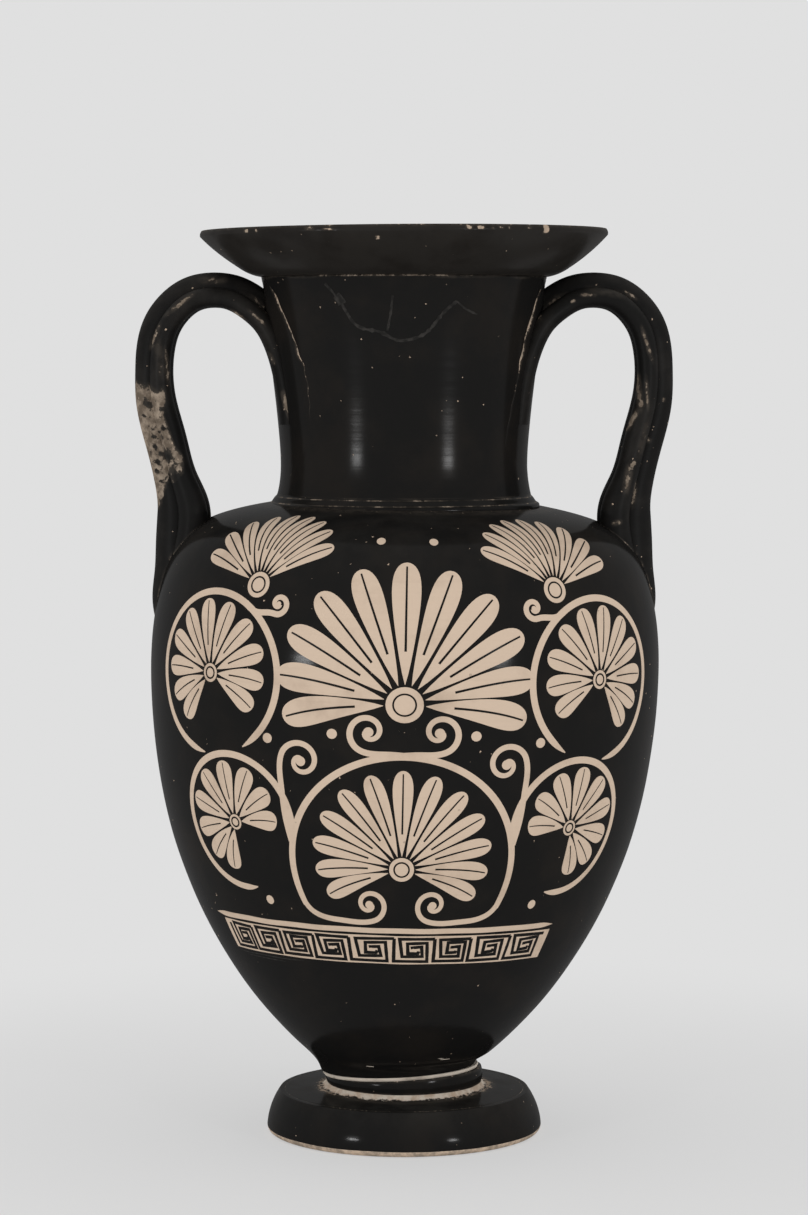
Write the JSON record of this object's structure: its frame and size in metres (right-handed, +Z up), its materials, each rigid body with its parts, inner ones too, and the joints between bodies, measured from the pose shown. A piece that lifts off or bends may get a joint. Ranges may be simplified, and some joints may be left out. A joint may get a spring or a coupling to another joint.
{
  "type": "neck amphora",
  "caption": "Tall two-handled storage jar: egg-shaped body, offset neck, flaring mouth, ribbed handles and a disc foot on a collar.",
  "frame": {"origin": "middle of the foot's resting face, on the surface the jar stands on", "axes": "+Z up, +X and -X towards the handles, -Y the decorated front"},
  "size_m": [0.2014, 0.1908, 0.34],
  "materials": {
    "black_gloss": "thin black clay gloss, fired, soft shine, worn",
    "bare_clay": "reserved fine clay, smooth, matt to satin"
  },
  "bodies": {
    "root": {"foot": "black_gloss", "collar": "black_gloss", "body": "black_gloss", "neck": "black_gloss", "neck_bead": "black_gloss", "mouth": "black_gloss", "left_neck_wad": "black_gloss", "right_neck_wad": "black_gloss", "left_handle_front_coil": "black_gloss", "left_handle_middle_coil": "black_gloss", "left_handle_back_coil": "black_gloss", "right_handle_front_coil": "black_gloss", "right_handle_middle_coil": "black_gloss", "right_handle_back_coil": "black_gloss", "foot_slip_bed": "bare_clay", "collar_slip_bed": "bare_clay", "neck_slip_bed": "bare_clay", "mouth_slip_bed": "bare_clay"}
  },
  "joints": []
}
